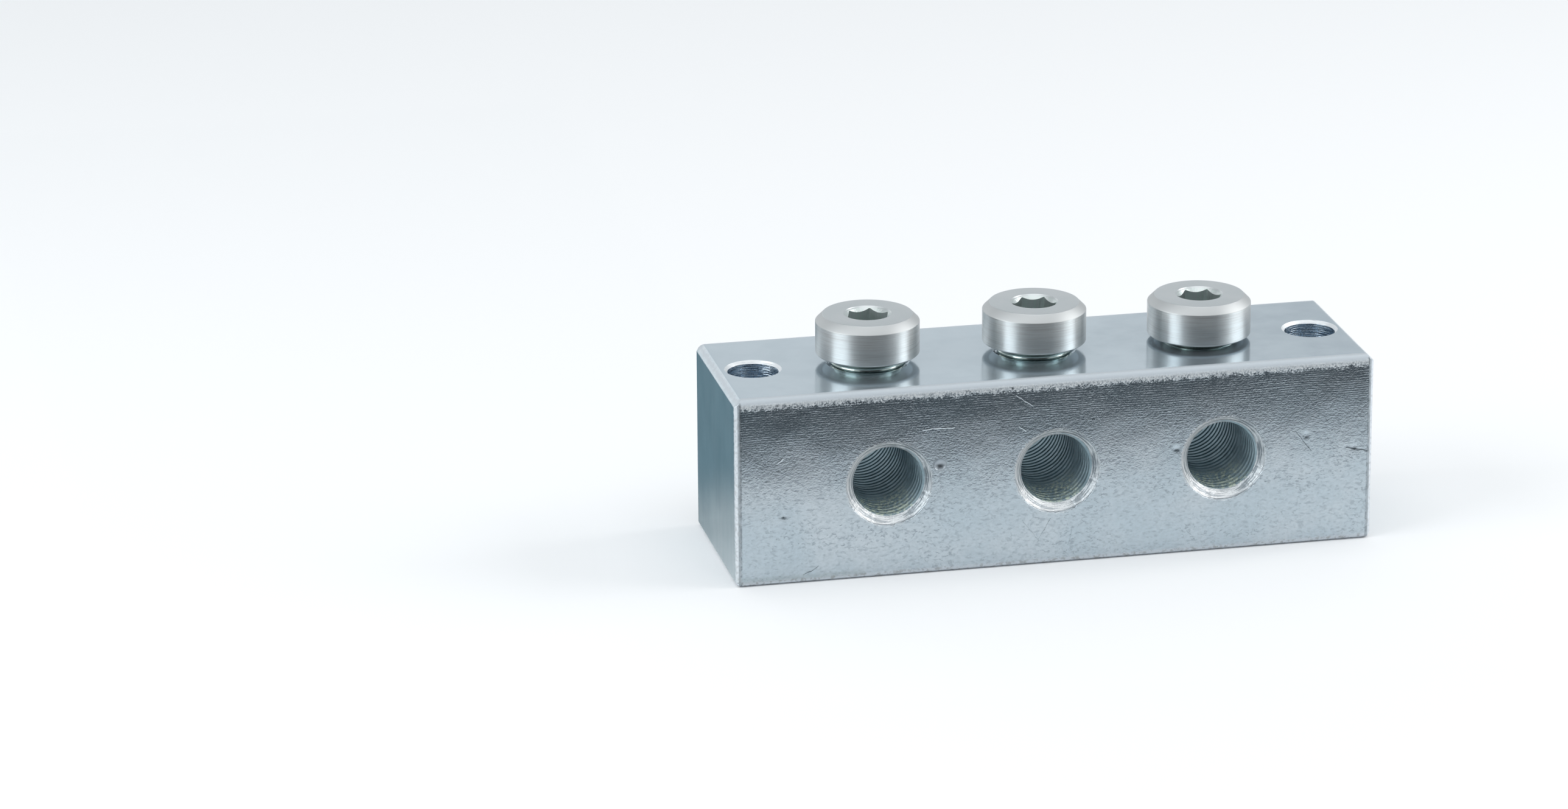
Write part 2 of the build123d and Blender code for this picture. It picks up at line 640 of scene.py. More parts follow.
# %% [markdown]
# ### Masks, colours and noise
#
# Noise gives a value that wanders over the surface. A ramp makes a mask of it, from 0 to 1, and a mask
# mixes two colours or holds a pattern to its place.

# %% Pattern helpers
def ramp(value, low, high, bottom=0.0, top=1.0):
    """Smoothly maps a value from the range low to high onto bottom to top."""
    return add(value.id_data, "ShaderNodeMapRange", {"Value": value}, interpolation_type="SMOOTHSTEP",
               From_Min=low, From_Max=high, To_Min=bottom, To_Max=top).outputs["Result"]


def mix(factor, first, second):
    """Mixes two colours, each a triple or an output."""
    node = add(factor.id_data, "ShaderNodeMix", data_type="RGBA")
    feed(node.inputs["Factor"], factor)
    for slot, value in ((6, first), (7, second)):
        feed(node.inputs[slot], (*value, 1) if isinstance(value, tuple) else value)
    return node.outputs[2]


def noise(spot, scale, detail=3.0, roughness=0.5):
    """Noise read at a vector output."""
    return add(spot.id_data, "ShaderNodeTexNoise", {"Vector": spot},
               Scale=scale, Detail=detail, Roughness=roughness).outputs["Fac"]


def split(vector):
    """The x, y and z of a vector output."""
    return add(vector.id_data, "ShaderNodeSeparateXYZ", {0: vector}).outputs


def joined(x, y, z):
    """A vector output made of three outputs."""
    return add(x.id_data, "ShaderNodeCombineXYZ", {0: x, 1: y, 2: z}).outputs[0]

# %% [markdown]
# ### Shared effects
#
# Effects that come back are made once as node groups: the tint (how the blue comes and goes), the lines
# that turning leaves, the wear along edges, and scratches. A group reads its pattern at the place that it
# is given and hands out colours or values, never a shader.

# %% Group helpers
origin = (0.0, 0.0, 0.0)


def new_group(name, inputs, outputs):
    """An empty group. Inputs have a name and a default, outputs a name and a kind."""
    group = bpy.data.node_groups.new(name, "ShaderNodeTree")
    for label, value in inputs.items():
        kind = "Float" if isinstance(value, float) else {3: "Vector", 4: "Color"}[len(value)]
        socket = group.interface.new_socket(label, in_out="INPUT", socket_type="NodeSocket" + kind)
        socket.default_value = value
    for label, kind in outputs.items():
        group.interface.new_socket(label, in_out="OUTPUT", socket_type="NodeSocket" + kind)
    return group, group.nodes.new("NodeGroupInput").outputs, group.nodes.new("NodeGroupOutput").inputs


def use(group, spot, **values):
    """Places a group beside an output, which becomes its place, and gives the group's outputs."""
    node = add(spot.id_data, "ShaderNodeGroup", node_tree=group)
    feed(node.inputs["Place"], spot)
    for name, value in values.items():
        node.inputs[name.replace("_", " ")].default_value = value
    return node.outputs

# %% [markdown]
# ### Tint
#
# Passivated zinc drifts between silver and a cool blue in soft clouds. A large noise chooses between two
# colours and a small one adds grain.

# %% Group: passivation tint
tint, into, out = new_group("passivation_tint", {
    "Place": origin, "Silver": (0.6, 0.65, 0.67, 1.0), "Blue": (0.45, 0.55, 0.6, 1.0), "Cloud size": 8.0},
    {"Color": "Color"})
clouds = noise(vector_math("DIVIDE", into["Place"], into["Cloud size"]), 1.0, 3.0)
grains = noise(into["Place"], 3.0, 2.0)
blueness = ramp(total(clouds, product(grains, 0.25)), 0.42, 0.82)
feed(out["Color"], mix(blueness, into["Silver"], into["Blue"]))

# %% [markdown]
# ### Turning lines
#
# Turning leaves fine rings round a part, on its side as well as on its flat top. Noise is read at a place
# made of the direction from the axis, which changes slowly, and of height plus radius, which is squeezed
# hard. A direction has no seam, where an angle would jump from a full turn back to nothing.

# %% Group: turning lines
rings, into, out = new_group("turning_lines", {
    "Place": origin, "Spacing": 0.1, "Turns": 1.0}, {"Height": "Float", "Radius": "Float"})
x, y, z = split(into["Place"])
radius = distance(x, y)
squeezed = joined(product(math("DIVIDE", x, radius), into["Turns"]),
                  product(math("DIVIDE", y, radius), into["Turns"]),
                  math("DIVIDE", total(z, radius), into["Spacing"]))
fine = noise(squeezed, 1.0, 1.0)
broad = noise(vector_math("MULTIPLY", squeezed, (0.7, 0.7, 0.3)), 1.0, 2.0)
feed(out["Height"], total(product(fine, 0.65), product(broad, 0.35)))
feed(out["Radius"], radius)

# %% [markdown]
# ### Edge wear
#
# Plating is thickest and gets rubbed brightest along edges. The distance to each face of a box is known
# from the coordinates, and close to an edge the second smallest of the three distances is small.

# %% Group: edge wear
wear, into, out = new_group("edge_wear", {
    "Place": origin, "Middle": origin, "Half size": (1.0, 1.0, 1.0), "Width": 1.0, "Raggedness": 0.5},
    {"Mask": "Float"})
away = vector_math("ABSOLUTE", vector_math("SUBTRACT", into["Place"], into["Middle"]))
left = split(vector_math("SUBTRACT", into["Half size"], away))
low = math("MINIMUM", left[0], left[1])
high = math("MAXIMUM", left[0], left[1])
second = math("MAXIMUM", low, math("MINIMUM", high, left[2]))
ragged = math("SUBTRACT", noise(into["Place"], 1.6, 4.0, 0.7), 0.5)
reach = product(into["Width"], total(1.0, product(ragged, product(into["Raggedness"], 4.0))))
close = math("SUBTRACT", 1.0, math("DIVIDE", second, reach), clamp=True)
feed(out["Mask"], ramp(close, 0.0, 0.5))

# %% [markdown]
# ### Scratches
#
# A scratch is everything close to the straight line between two points. The place is projected on that
# line, the result is kept between its two ends, and what counts is the distance to the point found there.

# %% Group: scratch
scratch, into, out = new_group("scratch", {
    "Place": origin, "Start": origin, "Finish": origin, "Width": 0.1}, {"Mask": "Float"})
run = vector_math("SUBTRACT", into["Finish"], into["Start"])
offset = vector_math("SUBTRACT", into["Place"], into["Start"])
share = math("DIVIDE", vector_math("DOT_PRODUCT", offset, run),
             vector_math("DOT_PRODUCT", run, run), clamp=True)
gap = vector_math("LENGTH", vector_math("SUBTRACT", offset, vector_math("MULTIPLY", run, share)))
feed(out["Mask"], math("SUBTRACT", 1.0, math("DIVIDE", gap, into["Width"]), clamp=True))
print("node groups:", [group.name for group in (tint, rings, wear, scratch)])

# %% [markdown]
# ### Metal
#
# Each finish is a metallic Principled shader that reads the object's own coordinates, here in
# millimetres, so that its pattern has a real size. Relief is a chain of Bump nodes, one for each thing
# that marks the surface.

# %% Material helpers
def new_material(name):
    """A metal material, the inputs of its shader, and its object coordinates in mm."""
    material = bpy.data.materials.new(name)
    material.use_nodes = True
    tree = material.node_tree
    tree.nodes.clear()
    shader = add(tree, "ShaderNodeBsdfPrincipled", Metallic=1.0)
    add(tree, "ShaderNodeOutputMaterial", {"Surface": shader.outputs[0]})
    spot = add(tree, "ShaderNodeTexCoord").outputs["Object"]
    return material, shader.inputs, vector_math("MULTIPLY", spot, (1 / mm, 1 / mm, 1 / mm))


def relief(shader, heights):
    """Chains one Bump node for each (height, depth in mm) and leads the last normal into the shader."""
    normal = None
    for value, depth in heights:
        bump = add(value.id_data, "ShaderNodeBump", {"Height": value}, Distance=depth * mm)
        if normal:
            feed(bump.inputs["Normal"], normal)
        normal = bump.outputs[0]
    feed(shader["Normal"], normal)


# %% [markdown]
# ### Zinc on the drawn bar: what is where
#
# One material covers the whole outside of the bar, and masks made from the coordinates tell its places
# apart: the front and back, the smooth top, the sawn ends, the worn edges, the rough strip along the top
# edge, the cones of the ports and the crater. A mask is a value from 0 to 1, so masks can be multiplied
# and mixed.

# %% Material: zinc on drawn bar, its masks
zinc, shader, where = new_material("zinc_on_drawn_bar")
x, y, z = split(where)
x_away, y_away = math("ABSOLUTE", x), math("ABSOLUTE", y)
end_face = ramp(x_away, half_length - 0.4, half_length - 0.1)
colour = use(tint, where, Cloud_size=9.0, Silver=(0.54, 0.60, 0.64, 1), Blue=(0.48, 0.56, 0.61, 1))["Color"]
worn = use(wear, where, Width=0.9, Raggedness=0.3, Middle=(0, 0, port_height),
           Half_size=(half_length, half_width, port_height))["Mask"]
nearest = math("ROUND", math("DIVIDE", x, port_spacing))
nearest = math("MAXIMUM", math("MINIMUM", nearest, 1.0), -1.0)
port_x = math("SUBTRACT", x, product(nearest, port_spacing))
port_z = math("SUBTRACT", z, port_height)
from_port = distance(port_x, port_z)
ragged = noise(where, 1.8, 4.0, 0.7)
burr = noise(where, 3.2, 3.0)
rim = ramp(total(from_port, product(burr, 1.2)), 6.15, 6.45, 1.0, 0.0)
cone = product(ramp(from_port, 5.7, 5.9, 1.0, 0.0),
               ramp(y_away, half_width - 0.14, half_width - 0.06, 1.0, 0.0))
front = product(ramp(y_away, half_width - 0.4, half_width - 0.2), math("SUBTRACT", 1.0, cone))
from_crater = vector_math("SUBTRACT", where, (crater_x, -half_width, crater_z))
crater_with_painted_shade = ramp(vector_math("LENGTH", from_crater), 0.85, 0.95, 1.0, 0.0)
flat_top = ramp(z, height - 0.15, height - 0.05)
crystals = noise(where, 5.0, 2.0)
sprinkled = total(z, product(crystals, 1.2), noise(where, 1.1, 2.0))
rough_edge = product(ramp(sprinkled, height - 0.45, height + 0.2),
                     ramp(y_away, half_width - 1.3, half_width - 0.9),
                     ramp(x_away, half_length - 0.9, half_length - 0.5, 1.0, 0.0))
from_seam = math("ABSOLUTE", math("SUBTRACT", x_away, half_length - 0.75))
painted_shadow_seam = product(front, ramp(ragged, 0.40, 0.60, 0.15, 0.75), ramp(from_seam, 0.0, 0.2, 1.0, 0.0))
print("nodes for the masks:", len(zinc.node_tree.nodes))

# %% [markdown]
# ### Patterns drawn out along the bar
#
# The die pulls every mark of the skin out along the bar. A noise does the same if its place is squeezed
# along X. Two more helpers read a noise somewhere else and turn it into creases.

# %% Drawn-out patterns
def drawn_out(spot, along, across, detail=1.0):
    """Noise whose marks are so many mm long along X and so wide across."""
    return noise(vector_math("DIVIDE", spot, (along, across, across)), 1.0, detail)


def moved(spot, by):
    """A place elsewhere, for a noise that has to differ from another one."""
    return vector_math("ADD", spot, by)


def creases(pattern, wide):
    """Thin lines where a noise crosses its middle value."""
    return ramp(math("ABSOLUTE", math("SUBTRACT", pattern, 0.5)), 0.0, wide, 1.0, 0.0)

# %% [markdown]
# ### Lines, wrinkles and pits
#
# Drawing leaves fine lines along the bar, which show best high on the front. Below them the skin is
# wrinkled like orange peel, with thin broken pits and specks further down. The sawn ends have streaks,
# and the cones of the ports have rings from the cutter. Each becomes a value from 0 to 1.

# %% Lines, wrinkles and pits
# The drawing lines are a sine of the height, one about every 0.3 mm, bent by a slow noise.
bend = drawn_out(where, 7.0, 1.6, 2.0)
ripple = math("SINE", total(product(z, 20.9), product(bend, 9.0)))
ripple = total(product(ripple, 0.5), 0.5)
ripple = product(ripple, ripple, ramp(drawn_out(where, 1.6, 0.3), 0.30, 0.60, 0.2, 1.0),
                 ramp(drawn_out(where, 6.0, 2.5, 2.0), 0.35, 0.60, 0.45, 1.0))
folds = creases(drawn_out(where, 0.65, 0.42, 3.0), 0.12)
patchy = drawn_out(where, 7.0, 4.0, 2.0)
veins = creases(drawn_out(moved(where, (90, 0, 0)), 0.9, 0.6, 4.0), 0.06)
broken = ramp(drawn_out(moved(where, (40, 0, 0)), 0.8, 0.5, 2.0), 0.48, 0.60)
pits = product(veins, broken, ramp(patchy, 0.40, 0.62, 0.3, 1.0), front)
specks = ramp(drawn_out(moved(where, (0, 0, 60)), 0.75, 0.38, 3.0), 0.55, 0.68, 0.0, 0.6)
specks = product(specks, ramp(z, 16.0, 21.0, 1.0, 0.4), front)
pits = strongest(pits, specks)
streaks = drawn_out(joined(z, y, x), 22.0, 1.6, 2.0)
grain = noise(where, 5.5, 2.0)
around_port = joined(math("DIVIDE", port_x, from_port), product(from_port, 5.0),
                     math("DIVIDE", port_z, from_port))
machined = noise(vector_math("MULTIPLY", around_port, (1.6, 1.0, 1.6)), 1.0, 2.0)
print("nodes with the patterns:", len(zinc.node_tree.nodes))

# %% [markdown]
# ### Scratches and relief
#
# A few long scratches run over the front. Each is two points put through the scratch group, and the place
# that it reads wanders a little, so that none is dead straight. Then all that marks the surface gets its
# depth in millimetres, held to its place by the masks.

# %% Scratches and relief
# Long scratches on the front face: start x and z, finish x and z, width, and whether its lip is painted
# lighter as a painted highlight.
long_scratches = [
    (-17.6, 19.4, -13.6, 19.4, 0.16, True),
    (-5.5, 23.1, -3.3, 21.5, 0.12, True),
    (-5.1, 19.0, -4.2, 18.2, 0.10, True),
    (-35.9, 16.9, -36.4, 16.3, 0.14, True),
    (-4.6, 6.2, -2.4, 3.2, 0.09, False),
    (-0.9, 6.2, -2.6, 3.1, 0.08, False),
    (2.0, 4.6, 1.5, 2.4, 0.10, False),
    (31.5, 15.5, 33.8, 12.6, 0.10, False),
    (38.4, 12.8, 41.3, 12.1, 0.14, False),
    (-33.2, 1.2, -31.3, 2.1, 0.08, False),
]
wobble = vector_math("SUBTRACT", noise(where, 0.9, 2.0).node.outputs["Color"], (0.5, 0.5, 0.5))
wander = moved(where, vector_math("MULTIPLY", wobble, (0.5, 0.0, 0.5)))
lipped_scratches_painted_light, dull = [], []
for x_start, z_start, x_finish, z_finish, wide, lip_painted_light in long_scratches:
    mark = use(scratch, wander, Start=(x_start, -half_width, z_start),
               Finish=(x_finish, -half_width, z_finish), Width=wide)["Mask"]
    (lipped_scratches_painted_light if lip_painted_light else dull).append(mark)
lipped_scratches_painted_light, dull = strongest(*lipped_scratches_painted_light), strongest(*dull)
relief(shader, [
    (math("SUBTRACT", lipped_scratches_painted_light, dull), 0.02),
    (product(ripple, front, ramp(z, 16.5, 20.5, 0.06, 1.0)), 0.0046),
    (product(folds, front, ramp(z, 6.0, 16.5, 0.25, 1.0), ramp(z, 17.5, 21.0, 1.0, 0.6),
             ramp(patchy, 0.35, 0.6, 0.55, 1.0)), 0.0058),
    (math("SUBTRACT", 1.0, pits), 0.006),
    (product(machined, cone), 0.10),
    (product(crystals, cone), 0.05),
    (product(crystals, flat_top), 0.001),
    (product(grain, front), 0.009),
    (product(crystals, rough_edge, ramp(z, height - 1.0, height - 0.4, 1.0, 0.05)), 0.04),
    (product(streaks, end_face), 0.04),
])
print("nodes with the relief:", len(zinc.node_tree.nodes))

# %% [markdown]
# ### Colour of the faces
#
# The tint is laid down first and each place is mixed over it in turn: streaks and clouds on the ends, a
# veil of clouds and painted shade on the top, specks, pits, scratches with painted highlights and the cones
# of the ports, painted darker on their right side.

# %% Colour of the faces
bright = mix(product(end_face, ramp(streaks, 0.3, 0.7)), colour, (0.42, 0.52, 0.57))
smudges = ramp(noise(where, 0.18, 5.0), 0.30, 0.80, 0.0, 0.7)
bright = mix(product(end_face, smudges), bright, (0.64, 0.72, 0.76))
# The top is painted darker towards the right end, a painted shade, with soft clouds.
mist = noise(where, 0.22, 5.0)
painted_shade_to_right_end = ramp(total(x, product(mist, 30.0)), 16.0, 58.0)
clouds_and_painted_shade = math("ADD", product(painted_shade_to_right_end, 0.8), ramp(mist, 0.35, 0.70, 0.0, 0.2), clamp=True)
bright = mix(product(flat_top, 0.85), bright, mix(clouds_and_painted_shade, (0.63, 0.72, 0.78), (0.45, 0.53, 0.59)))
speckle = ramp(drawn_out(where, 0.5, 0.3, 2.0), 0.35, 0.7, 0.0, 0.35)
bright = mix(product(front, speckle), bright, (0.38, 0.44, 0.48))
bright = mix(pits, bright, (0.33, 0.38, 0.42))
# The scratches are real marks. The ones with a lip are painted lighter, a painted highlight.
bright = mix(product(lipped_scratches_painted_light, 0.6), bright, (0.78, 0.84, 0.87))
bright = mix(product(dull, 0.7), bright, (0.22, 0.26, 0.29))
# The cone of a port has bright ridges and dark furrows, and is painted darker on its right side, a painted
# shade.
painted_shade_on_right = ramp(port_x, -2.0, 4.5)
ridge_tint = mix(painted_shade_on_right, (0.94, 0.96, 0.97), (0.60, 0.65, 0.68))
furrow_tint = mix(painted_shade_on_right, (0.58, 0.62, 0.65), (0.24, 0.28, 0.31))
chamfer_tint = mix(ramp(machined, 0.42, 0.55), furrow_tint, ridge_tint)
bright = mix(strongest(product(rim, 0.6), cone), bright, chamfer_tint)
print("nodes with the colour of the faces:", len(zinc.node_tree.nodes))

# %% [markdown]
# ### Colour of the edges, and roughness
#
# Over the faces come the worn edges, with a painted highlight and a painted shade on the upright ones, the
# crater painted darker as a painted shade, the crystals and painted glints on the rough strip, a painted
# shadow line beside the upright edges and darker patches along the edges and low down. Roughness and
# metallic are summed from the same masks, because what has a different colour is a different surface too.

# %% Colour of the edges, and roughness
def weighted(value, shares):
    """A value plus several masks, each times its amount."""
    for mask, amount in shares:
        value = total(value, product(mask, amount))
    return value


# The upright edges are painted white outside, a painted highlight, and grey inside, a painted shade, over
# the wear.
upright = product(ramp(x_away, half_length - 0.85, half_length - 0.6),
                  ramp(z, height - 1.2, height - 0.6, 1.0, 0.0))
painted_highlight_part = ramp(x_away, half_length - 0.48, half_length - 0.34)
highlight_and_shade_upright_tint = mix(painted_highlight_part, (0.33, 0.37, 0.40), (0.80, 0.85, 0.89))
wear_and_painted_light_tint = mix(product(upright, ramp(ragged, 0.4, 0.6, 0.6, 1.0)), (0.60, 0.65, 0.69), highlight_and_shade_upright_tint)
bright = mix(worn, bright, wear_and_painted_light_tint)
# The crater is painted darker, a painted shade in its hollow. Its rougher finish is real.
bright = mix(crater_with_painted_shade, bright, (0.40, 0.45, 0.49))
# The lower part of the rough strip is painted lighter, with white specks as painted glints among darker
# ones.
painted_sparkle = ramp(z, height - 1.0, height - 0.5, 1.0, 0.0)
strip_tint_with_painted_glints = mix(painted_sparkle, (0.60, 0.65, 0.69), (0.76, 0.81, 0.84))
strip_tint_with_painted_glints = mix(product(ramp(crystals, 0.38, 0.5, 1.0, 0.0), painted_sparkle), strip_tint_with_painted_glints, (0.52, 0.57, 0.61))
strip_tint_with_painted_glints = mix(product(ramp(crystals, 0.55, 0.68), painted_sparkle), strip_tint_with_painted_glints, (0.90, 0.93, 0.94))
bright = mix(rough_edge, bright, strip_tint_with_painted_glints)
# A dark line on the front beside the upright edges is painted shadow.
bright = mix(painted_shadow_seam, bright, (0.18, 0.21, 0.23))
# Patches along the edges and near the bottom are darker, away from the top.
low_down = strongest(product(worn, 0.3), ramp(z, 0.5, 1.0, 0.6, 0.0))
darker_patches_low = product(ramp(noise(where, 2.3, 3.0), 0.48, 0.66), low_down,
                ramp(z, height - 2.5, height - 1.5, 1.0, 0.0))
feed(shader["Base Color"], mix(darker_patches_low, bright, (0.30, 0.31, 0.31)))
roughness = weighted(product(grain, 0.04), (
    (front, 0.08), (crater_with_painted_shade, 0.15), (end_face, 0.07), (cone, 0.28), (worn, 0.30), (rough_edge, 0.30)))
feed(shader["Roughness"], total(roughness, 0.11))
haze = weighted(product(flat_top, 0.10), ((cone, 0.2), (rough_edge, 0.3)))
feed(shader["Metallic"], math("SUBTRACT", 1.0, haze))
print("finish of the bar:", zinc.name, "nodes", len(zinc.node_tree.nodes))

# %% [markdown]
# ### Zinc in the holes
#
# The ports are painted darker, a painted shade inside them, and matt, with a greenish tint low down near
# the front that is painted lighter, a painted highlight on the lower threads. The plain holes are bluer and
# shinier, show the coarse rings of the drill and have a pale cone at their mouth. One function makes both.

# %% Material: zinc in the bores
def bored_finish(name, silver, blue, green_and_light_amount, low, high, ring_depth):
    """A finish of the holes: tints, amount of green tint and painted light, range of roughness, depth of
    the drill's rings.
    """
    material, shader, where = new_material(name)
    x, y, z = split(where)
    colour = use(tint, where, Cloud_size=2.5, Silver=(*silver, 1), Blue=(*blue, 1))["Color"]
    grain = noise(where, 2.5, 3.0)
    rings = noise(vector_math("MULTIPLY", where, (0.4, 0.4, 7.0)), 1.0, 2.0)
    # Low down near the front: a greenish tint, painted lighter as a painted highlight on the lower threads.
    green_tint_and_painted_light = product(ramp(z, port_height - 4.1, port_height - 2.1, green_and_light_amount, 0.0),
                    ramp(grain, 0.42, 0.62), ramp(y, -7.0, -3.0, 1.0, 0.0))
    from_middle = math("ABSOLUTE", math("SUBTRACT", z, port_height))
    mouth = ramp(from_middle, port_height - 0.42, port_height - 0.36)
    tinted_and_painted_light = mix(green_tint_and_painted_light, colour, (0.84, 0.92, 0.80))
    feed(shader["Base Color"], mix(mouth, tinted_and_painted_light, (0.86, 0.89, 0.91)))
    feed(shader["Roughness"], total(ramp(grain, 0.3, 0.7, low, high), product(mouth, 0.3)))
    relief(shader, [(grain, 0.01), (rings, ring_depth)])
    return material


# The ports' dark tints are painted shade inside them.
port_zinc_with_painted_shade = bored_finish("zinc_in_ports", (0.43, 0.55, 0.60), (0.32, 0.43, 0.48), 0.9, 0.58, 0.68, 0.001)
drilled = bored_finish("zinc_in_screw_holes", (0.68, 0.79, 0.88), (0.50, 0.62, 0.74), 0.0, 0.20, 0.32, 0.10)
print("finishes of the holes:", [material.name for material in (port_zinc_with_painted_shade, drilled)])

# %% [markdown]
# ### Turned plugs
#
# A turned part shows fine lines round its side, so it spreads every light into a tall band. That is
# anisotropy: the tangent runs round the axis, and the light is spread across it. The facing tool leaves
# the top plain and matt, the broach leaves marks that run down the walls of the socket, and the undercut
# keeps a faint green film and the gloss of the bath.
#
# Each plug's mesh remembers where its points were on the master plug, in the attribute from_axis. So one
# set of materials serves all three, and the turning lines run round every plug as rings.

# %% Materials: turned side, faced top, undercut
def on_master(material):
    """The place on the master plug, which each mesh keeps."""
    return add(material.node_tree, "ShaderNodeAttribute", attribute_name="from_axis").outputs["Vector"]


def turned_finish(name, silver, blue, roughness, spread=0.0):
    """A finish of the plugs: its material, the inputs of its shader, its turning lines and its colour."""
    material, shader, where = new_material(name)
    shifted = vector_math("ADD", on_master(material), vector_math("MULTIPLY", where, (0.0, 0.0, 9.0)))
    cut = use(rings, shifted, Spacing=0.12, Turns=1.6)
    colour = use(tint, where, Cloud_size=5.0, Silver=(*silver, 1), Blue=(*blue, 1))["Color"]
    feed(shader["Roughness"], roughness)
    if spread:
        feed(shader["Anisotropic"], spread)
        feed(shader["Anisotropic Rotation"], 0.25)
        around = add(material.node_tree, "ShaderNodeTangent", direction_type="RADIAL", axis="Z")
        feed(shader["Tangent"], around.outputs[0])
    return material, shader, cut, colour


side, shader, cut, colour = turned_finish(
    "turned_side", (0.66, 0.69, 0.69), (0.61, 0.65, 0.66), 0.42, spread=0.85)
feed(shader["Base Color"], mix(ramp(cut["Height"], 0.38, 0.52), (0.47, 0.47, 0.47), colour))
relief(shader, [(cut["Height"], 0.003)])

top, shader, cut, colour = turned_finish("faced_top", (0.67, 0.70, 0.71), (0.63, 0.67, 0.68), 0.36)
local = on_master(top)
broached = product(ramp(cut["Radius"], 2.95, 3.0, 1.0, 0.0), ramp(split(local)[2], 5.0, 5.2, 1.0, 0.0))
broach = noise(vector_math("MULTIPLY", local, (4.0, 4.0, 0.2)), 1.0, 3.0)
chamfer_start = head_radius - head_chamfer
chamfered = ramp(cut["Radius"], chamfer_start + 0.02, chamfer_start + 0.08)
bright = mix(chamfered, colour, (0.56, 0.58, 0.585))
feed(shader["Base Color"], mix(product(broached, ramp(broach, 0.35, 0.65)), bright, (0.62, 0.70, 0.68)))
feed(shader["Roughness"], ramp(chamfered, 0.0, 1.0, 0.36, 0.52))
relief(shader, [(cut["Height"], 0.001), (product(broach, broached), 0.04)])

below, shader, cut, colour = turned_finish("green_undercut", (0.62, 0.70, 0.66), (0.52, 0.62, 0.60), 0.18)
feed(shader["Base Color"], colour)
relief(shader, [(cut["Height"], 0.002)])
print("plug finishes:", [material.name for material in (side, top, below)])

# %% [markdown]
# ### Giving out the finishes
#
# The bar gets three slots: one for its outside and one for each kind of hole. A plug gets one for its top
# and socket, one for its side and one for all below its head. Faces are picked by their distance from an
# axis.

# %% Assign materials
cut_radius = 5.12


def give(piece, finishes, tests):
    """Gives a piece its finishes, and each after the first to the faces that pass its test."""
    for finish in finishes:
        piece.data.materials.append(finish)
    edit(piece)
    for slot, test in enumerate(tests, 1):
        print("faces of", piece.name, "in", finishes[slot].name, pick("FACE", test))
        piece.active_material_index = slot
        bpy.ops.object.material_slot_assign()
    bpy.ops.object.mode_set(mode="OBJECT")


def from_axis(face, x):
    """Distance of a face from the upright axis at x."""
    middle = face.calc_center_median() / mm
    return Vector((middle.x - x, middle.y)).length


def in_a_screw_hole(face):
    """True for the walls of the plain holes."""
    nearer = min(from_axis(face, -screw_place), from_axis(face, screw_place))
    return nearer < screw_mouth / 2 + 0.02 and abs(face.normal.z) < 0.9


def in_a_port(face):
    """True for faces that a port drill, a plug drill or a tap has cut, apart from their countersinks."""
    x, y, z = face.calc_center_median() / mm
    if 0.6 < abs(face.normal.y) < 0.8 and abs(y) > half_width - 1.4:
        return False
    for spot in port_places:
        if Vector((x - spot, z - port_height)).length < cut_radius and abs(face.normal.y) < 0.95:
            return True
        if from_axis(face, spot) < cut_radius and z > port_height + 3.5 and face.normal.z < 0.6:
            return True
    return False


for piece in [bar, *plugs]:
    piece.data.materials.clear()
give(bar, (zinc, port_zinc_with_painted_shade, drilled), (in_a_port, in_a_screw_hole))
for seated, x, stand_off in zip(plugs, port_places, stand_offs):
    underside = height + stand_off
    give(seated, (top, side, below), (
        lambda face: abs(face.normal.z) < 0.3 and face.calc_center_median().z > (underside + 0.1) * mm
        and from_axis(face, x) > head_radius - 0.2,
        lambda face: face.calc_center_median().z < (underside - 0.02) * mm and from_axis(face, x) > 3.6))

# %% [markdown]
# ## The frame's bodies
#
# Nothing on this part moves, so every piece rides on the one body. Each piece stands for its CAD node.

# %% Ride and replace
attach(bar, "root")
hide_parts("block")
for seated, name in zip(plugs, names):
    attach(seated, "root")
    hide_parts("plug_" + name)

# %% [markdown]
# ## Floor and cards
#
# Bright metal shows what stands round it more than what shines on it. A pale floor and a pale room make
# it light, and dark cards that only reflections can see give it its contrast, as a photographer's black
# flags do.

# %% Pale floor and dark cards
def stage_material(name, colour):
    """A plain matt material."""
    material = bpy.data.materials.new(name)
    material.use_nodes = True
    shader = material.node_tree.nodes["Principled BSDF"].inputs
    feed(shader["Base Color"], (*colour, 1))
    feed(shader["Roughness"], 0.9)
    feed(shader["Specular IOR Level"], 0.1)
    return material


def card(name, corners, colour, hidden=True):
    """A flat card for the stage. A hidden one shows only in reflections."""
    mesh = bpy.data.meshes.new(name)
    mesh.from_pydata([Vector(corner) * mm for corner in corners], [], [range(len(corners))])
    sheet = bpy.data.objects.new(name, mesh)
    bpy.context.collection.objects.link(sheet)
    mesh.materials.append(stage_material(name, colour))
    if hidden:
        sheet.visible_camera = sheet.visible_diffuse = sheet.visible_shadow = False
        sheet.visible_transmission = sheet.visible_volume_scatter = False
    return sheet


card("pale_floor", [(-3000, -3000, 0), (3000, -3000, 0), (3000, 3000, 0), (-3000, 3000, 0)],
     (0.94, 0.95, 0.96), hidden=False)
card("dark_card_in_front", [(-420, -40, 0.5), (110, -61, 0.5), (300, -500, 0.5), (-600, -500, 0.5)],
     (0.035, 0.045, 0.055))
card("dark_wall_in_front", [(-900, -1200, 0), (700, -1200, 0), (700, -1200, 850), (-900, -1200, 850)],
     (0.06, 0.06, 0.065))
graded = card("graded_card_behind", [(-25, -14, 0.5), (-25, 220, 0.5), (-120, 220, 0.5), (-120, -14, 0.5)],
              (0, 0, 0))
tree = graded.active_material.node_tree
along = split(add(tree, "ShaderNodeTexCoord").outputs["Object"])[1]
feed(tree.nodes["Principled BSDF"].inputs["Base Color"],
     mix(ramp(along, -14 * mm, 36 * mm), (0.85, 0.86, 0.85), (0.16, 0.25, 0.29)))
print("floor and cards stand")

# %% [markdown]
# ## Soft lights
#
# Five softboxes light the block: one on each side for the two tall bands on every plug, one above for
# their chamfers, and two far behind, which the top face mirrors. The room itself is a pale even light,
# and white where the camera sees it.

